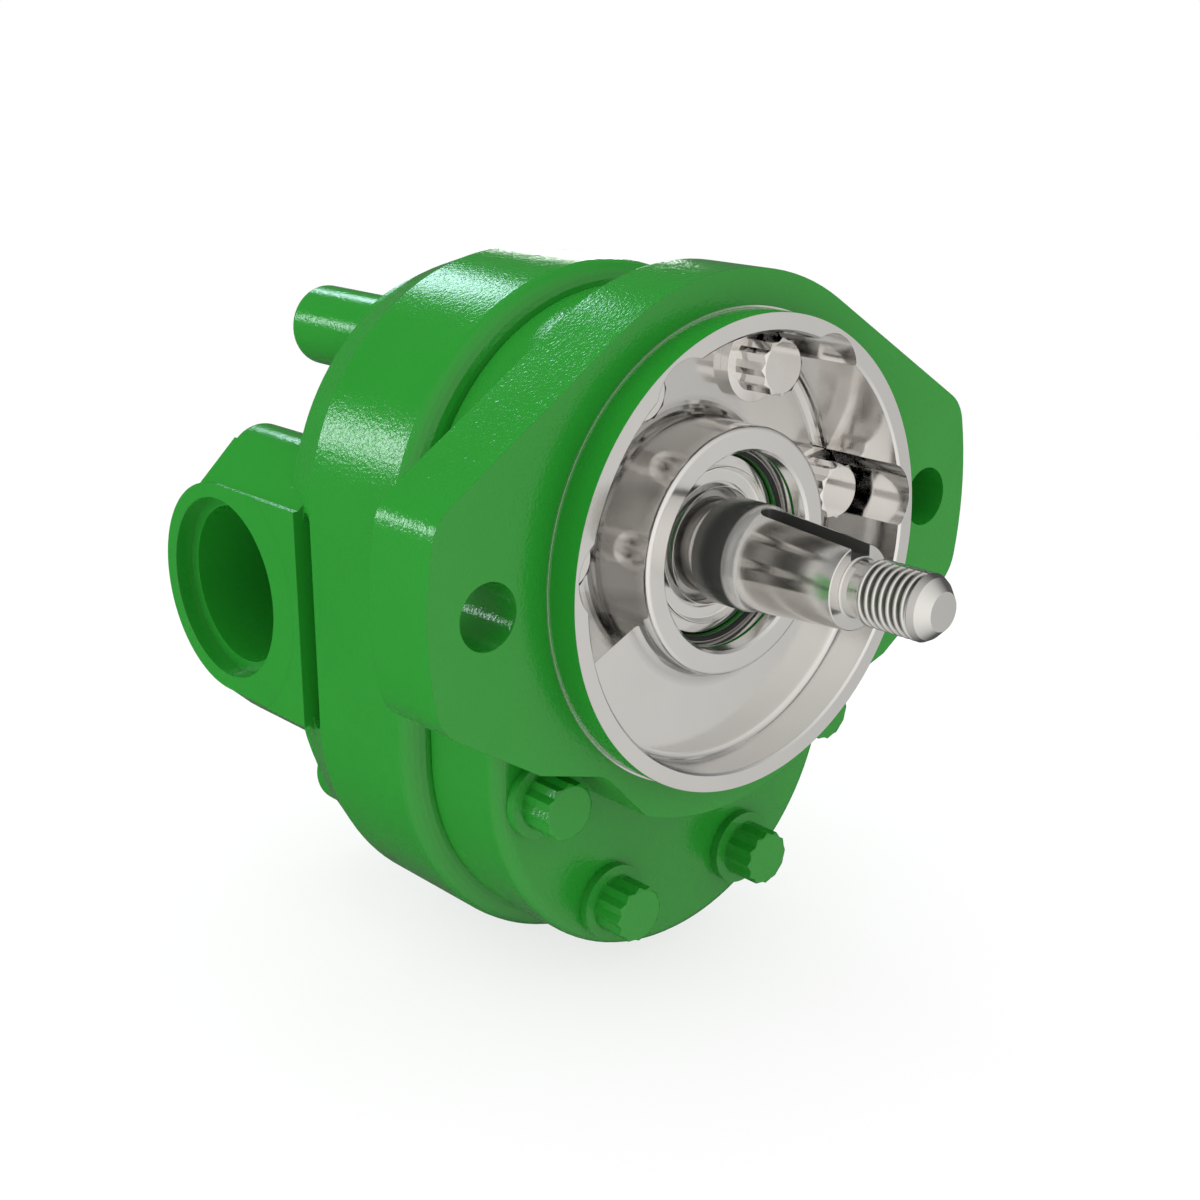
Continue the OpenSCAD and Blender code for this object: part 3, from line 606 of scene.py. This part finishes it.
# The turned outline as (y, radius) pairs: straight runs between the corners, with evenly spaced
# stations along the thread, a quarter circle at the neck's foot, half a cosine wave up to the land
# and a quarter circle at its end
def shaftOutline():
    threadY, threadR = shaft["thread"]
    threadEnd = threadY + shaft["turns"] * shaft["pitch"]
    taperY, taperR = shaft["taperStart"]
    taperEndY, taperEndR = shaft["taperEnd"]
    landY, landR = shaft["land"]
    edge = shaft["landEdge"]
    sealY, sealR = shaft["sealJournal"]
    journalR = shaft["journal"]
    rear, rearEdge = shaft["rear"], shaft["rearEdge"]
    steps = shaft["turns"] * shaft["stepsPerTurn"]
    outline = [(shaft["tip"], shaft["tipFlat"]), shaft["tipBend"]]
    outline += [(y, threadR) for y in np.linspace(threadY, threadEnd, steps + 1)]
    outline += [(threadEnd + shaft["neckSlope"], shaft["neck"])]
    fillet = shaft["neckFillet"]
    outline += [(taperY - fillet + fillet * math.sin(a), shaft["neck"] + fillet - fillet * math.cos(a))
                for a in np.linspace(0, math.pi / 2, shaft["filletStations"])]
    outline += [(taperY, taperR - shaft["taperEdge"]), (taperY + shaft["taperEdge"], taperR)]
    share = np.linspace(0, 1, shaft["riseStations"])
    rise = 0.5 - 0.5 * np.cos(math.pi * share)
    outline += list(zip(taperEndY + (landY - taperEndY) * share, taperEndR + (landR - taperEndR) * rise))
    outline += [(shaft["landEnd"] - edge + edge * math.sin(a), landR - edge + edge * math.cos(a))
                for a in np.linspace(0, math.pi / 2, shaft["edgeStations"])]
    outline += [(shaft["landEnd"], sealR), (sealY, sealR), (sealY + journalR - sealR, journalR)]
    outline += [(rear - rearEdge, journalR), (rear, journalR - rearEdge)]
    return np.array(outline)


# The outline's radius at a place along Y, between the stations that are above a floor
def outlineRadius(rows, floor, place):
    outer = [(y, radius) for y, radius, _, _ in rows if radius > floor]
    return float(np.interp(place, *zip(*outer)))


# The stations of one slot, as (y, radius, half width, floor). A slot that ends round narrows as the
# root of its radius squared less the distance squared, and its last station closes it at once.
def slotStations(slot, rows):
    start, end, half, floor = (slot[key] for key in ("start", "end", "half", "floor"))
    if not slot["round"]:
        return [(y, outlineRadius(rows, floor, y), half, height)
                for y, height in ((start, np.nan), (start, floor), (end, floor), (end, np.nan))]
    centre = end - half
    inside = [(y, radius, half, floor) for y, radius, _, _ in rows
              if start <= y <= centre and radius > floor]
    for angle in np.linspace(0, math.acos(shaft["shutHalf"] / half), shaft["roundStations"]):
        y = centre + half * math.sin(angle)
        inside.append((y, outlineRadius(rows, floor, y), half * math.cos(angle), floor))
    lastY, lastRadius, _, _ = inside[-1]
    return inside + [(lastY, lastRadius, shaft["shutHalf"], np.nan)]


# Every station of the outline: those of a slot take the place of the plain ones along it
def shaftStations():
    rows = [(y, radius, shaft["shutHalf"], np.nan) for y, radius in shaftOutline()]
    for slot in (shaft["keyway"], shaft["keySeat"]):
        before = [row for row in rows
                  if row[0] < slot["start"] or (row[0] == slot["start"] and row[1] < slot["floor"])]
        after = [row for row in rows if row[0] >= slot["end"]]
        rows = before + slotStations(slot, rows) + after
    return np.array(rows)


# A point is at its station's radius, less the thread's groove, at an angle from the top. The groove's
# depth is a raised cosine, to a power that broadens the crests, of a phase that is the distance along
# the thread in pitches less the angle in turns. Three more points of each station are on the slot's
# floor, or on the radius where there is no slot.
def driveShaftMesh():
    stations = shaftStations()
    y, radius, half, floor = (stations[:, i][:, None] for i in range(4))
    wall = np.arcsin(half / radius)
    share = np.linspace(0, 1, shaft["columns"])[None, :]
    angle = wall + (2 * math.pi - 2 * wall) * share
    along = (y - shaft["thread"][0]) / shaft["pitch"]
    phase = along - angle / (2 * math.pi)
    groove = (0.5 - 0.5 * np.cos(2 * math.pi * phase)) ** shaft["crestSpread"] * shaft["threadDepth"]
    fade = np.clip(np.minimum(along, shaft["turns"] - along) / shaft["fadeTurns"], 0, 1)
    reach = radius - groove * fade
    x, z = reach * np.sin(angle), reach * np.cos(angle)
    across = np.array([[-1.0, 0.0, 1.0]])
    inSlot = ~np.isnan(floor)
    shutAngle = wall * across * shaft["shutSpread"]
    slotX = np.where(inSlot, half * across, radius * np.sin(shutAngle))
    slotZ = np.where(inSlot, floor, radius * np.cos(shutAngle))
    allX, allZ = np.hstack([x, slotX]), np.hstack([z, slotZ])
    rows = np.stack([allX, np.broadcast_to(y, allX.shape), allZ], axis=-1) * mm
    return meshFromRows("turnedDriveShaft", rows)


# Garter spring, in millimetres: a coil of wire bent into a ring about the drive axis
spring = {
    "ring": 10.9,
    "y": 8.9,
    "coil": 0.47,
    "wire": 0.12,
    "turns": 190,
    "stepsPerTurn": 12,
    "sides": 6,
    "nudge": 1e-5,
    "sharpAngle": 60,
}


# A point that goes round the ring once while it winds round the ring's circle many times
def coilPoint(t, coil):
    reach = spring["ring"] + coil * np.cos(spring["turns"] * t)
    y = spring["y"] + coil * np.sin(spring["turns"] * t)
    return np.stack([reach * np.cos(t), y, reach * np.sin(t)], axis=-1)


# A circle of the wire's radius is carried along the wire's middle, across the way that it runs
def springMesh():
    steps = spring["turns"] * spring["stepsPerTurn"]
    t = np.arange(steps) / steps * 2 * math.pi
    points = coilPoint(t, spring["coil"])
    way = coilPoint(t + spring["nudge"], spring["coil"]) - coilPoint(t - spring["nudge"], spring["coil"])
    way /= np.linalg.norm(way, axis=1, keepdims=True)
    out = points - coilPoint(t, 0.0)
    out -= np.sum(out * way, axis=1, keepdims=True) * way
    out /= np.linalg.norm(out, axis=1, keepdims=True)
    side = np.cross(way, out)
    turn = np.arange(spring["sides"]) / spring["sides"] * 2 * math.pi
    rows = points[:, None, :] + spring["wire"] * (
        out[:, None, :] * np.cos(turn)[None, :, None] + side[:, None, :] * np.sin(turn)[None, :, None])
    return meshFromRows("garterSpring", rows * mm, closedRows=True, caps=False)


# Gives the edges on one station of a turned piece a hard line
def sharpenStation(mesh, y):
    points = np.empty(len(mesh.vertices) * 3)
    mesh.vertices.foreach_get("co", points)
    ends = np.empty(len(mesh.edges) * 2, dtype=int)
    mesh.edges.foreach_get("vertices", ends)
    sharp = np.empty(len(mesh.edges), dtype=bool)
    mesh.edges.foreach_get("use_edge_sharp", sharp)
    onStation = np.abs(points[1::3] - y) < 0.001 * mm
    mesh.edges.foreach_set("use_edge_sharp", sharp | onStation[ends].reshape(-1, 2).all(axis=1))


turnedShaft = addPiece("turned_drive_shaft", driveShaftMesh(), "drive_shaft", shaft["sharpAngle"])
sharpenStation(turnedShaft.data, shaft["tipBend"][0] * mm)
addPiece("garter_spring", springMesh(), "seal_spring", spring["sharpAngle"])
print("pieces made: turned_drive_shaft, garter_spring")


# Studio: an even world, three soft lamps behind the pump, and a pale floor. A mirror sees a world
# that is dark behind the pump and bright on the side that brightest points to.
studio = {
    "ambient": 1.0,
    "ambientBehind": 0.55,
    "behindSlope": 1.5,
    "mirrorDark": 0.10,
    "mirrorSide": 0.54,
    "mirrorFront": 0.48,
    "brightest": (-0.5, -0.87),
    "sideSpan": (-0.45, 0.2),
    "warmth": (1.0, 0.983, 0.952),
    "lamps": [
        {"azimuth": 19, "elevation": 33, "size": 0.22, "radiance": 7.5, "colour": (0.68, 0.90, 1.0)},
        {"azimuth": -36, "elevation": 15, "size": 0.22, "radiance": 9, "colour": (0.84, 0.96, 1.0)},
        {"azimuth": 40, "elevation": 6, "size": 0.22, "radiance": 9, "colour": (1.0, 1.0, 1.0)},
    ],
    "lampTarget": (0.0, 0.03, -0.015),
    "lampDistance": 1.2,
    "floorHalf": 3.0,
    "floorLines": 9,
    "floorGap": 0.5 * mm,
    "floorColour": (0.95, 0.95, 0.95),
    "floorEdge": (0.35, 0.3),
    "shadowFade": 0.75,
}


# A direction from its angle towards +X from +Y and its angle above the floor
def heading(azimuth, elevation):
    a, e = math.radians(azimuth), math.radians(elevation)
    return Vector((math.sin(a) * math.cos(e), math.cos(a) * math.cos(e), math.sin(e)))


def makeWorld():
    world = bpy.data.worlds.new("studio")
    bpy.context.scene.world = world
    make = Maker(world)
    x, y, _ = make.split(make.node("ShaderNodeTexCoord", output="Generated"))
    camera = make.node("ShaderNodeLightPath", output="Is Camera Ray")
    glossy = make.node("ShaderNodeLightPath", output="Is Glossy Ray")
    facing = x * studio["brightest"][0] + y * studio["brightest"][1]
    sideStart, sideEnd = studio["sideSpan"]
    side = ((facing - sideStart) / (sideEnd - sideStart)).kept()
    front = (facing - sideEnd).greater(0.0)
    mirror = studio["mirrorDark"] + side * studio["mirrorSide"] + front * studio["mirrorFront"]
    behind = (y * studio["behindSlope"] + 0.5).kept()
    ambient = studio["ambient"] + behind * studio["ambientBehind"]
    unseen = mirror * glossy + ambient * (1.0 - glossy)
    strength = camera + unseen * (1.0 - camera)
    tint = make.blend(side * glossy, white, opaque(studio["warmth"]))
    light = make.node("ShaderNodeBackground", sockets={"Color": tint, "Strength": strength})
    make.node("ShaderNodeOutputWorld", sockets={"Surface": light})


# A lamp's power is its radiance times pi times the area of its disk
def makeLamps():
    target = Vector(studio["lampTarget"])
    for i, lamp in enumerate(studio["lamps"]):
        data = bpy.data.lights.new(f"softLamp{i + 1}", "AREA")
        data.shape = "DISK"
        data.size = lamp["size"]
        data.color = lamp["colour"]
        data.energy = lamp["radiance"] * math.pi * math.pi * (lamp["size"] / 2) ** 2
        piece = bpy.data.objects.new(data.name, data)
        away = heading(lamp["azimuth"], lamp["elevation"])
        piece.location = target + away * studio["lampDistance"]
        piece.rotation_euler = away.to_track_quat("Z", "Y").to_euler()
        bpy.context.scene.collection.objects.link(piece)


# The floor fades into the white world away from the pump
def makeFloor():
    half, lines = studio["floorHalf"], studio["floorLines"]
    line = np.linspace(-half, half, lines)
    x, y = np.meshgrid(line, line)
    points = np.stack([x, y, np.full_like(x, cadLow.z - studio["floorGap"])], axis=-1).reshape(-1, 3)
    cell = np.arange(lines - 1)
    corner = (cell[:, None] * lines + cell[None, :]).ravel()
    faces = np.stack([corner, corner + 1, corner + lines + 1, corner + lines], axis=-1)
    mesh = bpy.data.meshes.new("floor")
    mesh.from_pydata(points.tolist(), [], faces.tolist())
    floor = bpy.data.objects.new("floor", mesh)
    bpy.context.scene.collection.objects.link(floor)
    material, make = newMaterial("paleFloor")
    x, y, _ = make.split(objectPlace(make))
    camera = make.node("ShaderNodeLightPath", output="Is Camera Ray")
    glossy = make.node("ShaderNodeLightPath", output="Is Glossy Ray")
    seen = make.under(distance(x, y), *studio["floorEdge"]) * (1.0 - glossy)
    matte = make.node("ShaderNodeBsdfDiffuse", sockets={"Color": opaque(studio["floorColour"])})
    glow = make.node("ShaderNodeEmission", sockets={"Color": white, "Strength": 1.0})
    pale = make.node("ShaderNodeMixShader", sockets={0: camera * studio["shadowFade"], 1: matte, 2: glow})
    clear = make.node("ShaderNodeBsdfTransparent")
    both = make.node("ShaderNodeMixShader", sockets={0: seen, 1: clear, 2: pale})
    make.node("ShaderNodeOutputMaterial", sockets={"Surface": both})
    mesh.materials.append(material)


# The photograph's viewpoint, in metres and degrees
view = {
    "place": (-0.214315, -0.202187, 0.087520),
    "turn": (71.82, 0.0, -42.31),
    "lens": 53.78,
    "sensor": 36.0,
    "near": 0.01,
}


def makeCamera():
    data = bpy.data.cameras.new("camera")
    data.lens = view["lens"]
    data.sensor_width = view["sensor"]
    data.clip_start = view["near"]
    camera = bpy.data.objects.new("camera", data)
    camera.location = view["place"]
    camera.rotation_euler = Euler([math.radians(a) for a in view["turn"]])
    bpy.context.scene.collection.objects.link(camera)
    bpy.context.scene.camera = camera


makeWorld()
makeLamps()
makeFloor()
makeCamera()
bpy.context.scene.view_settings.view_transform = "Standard"
print("studio made")
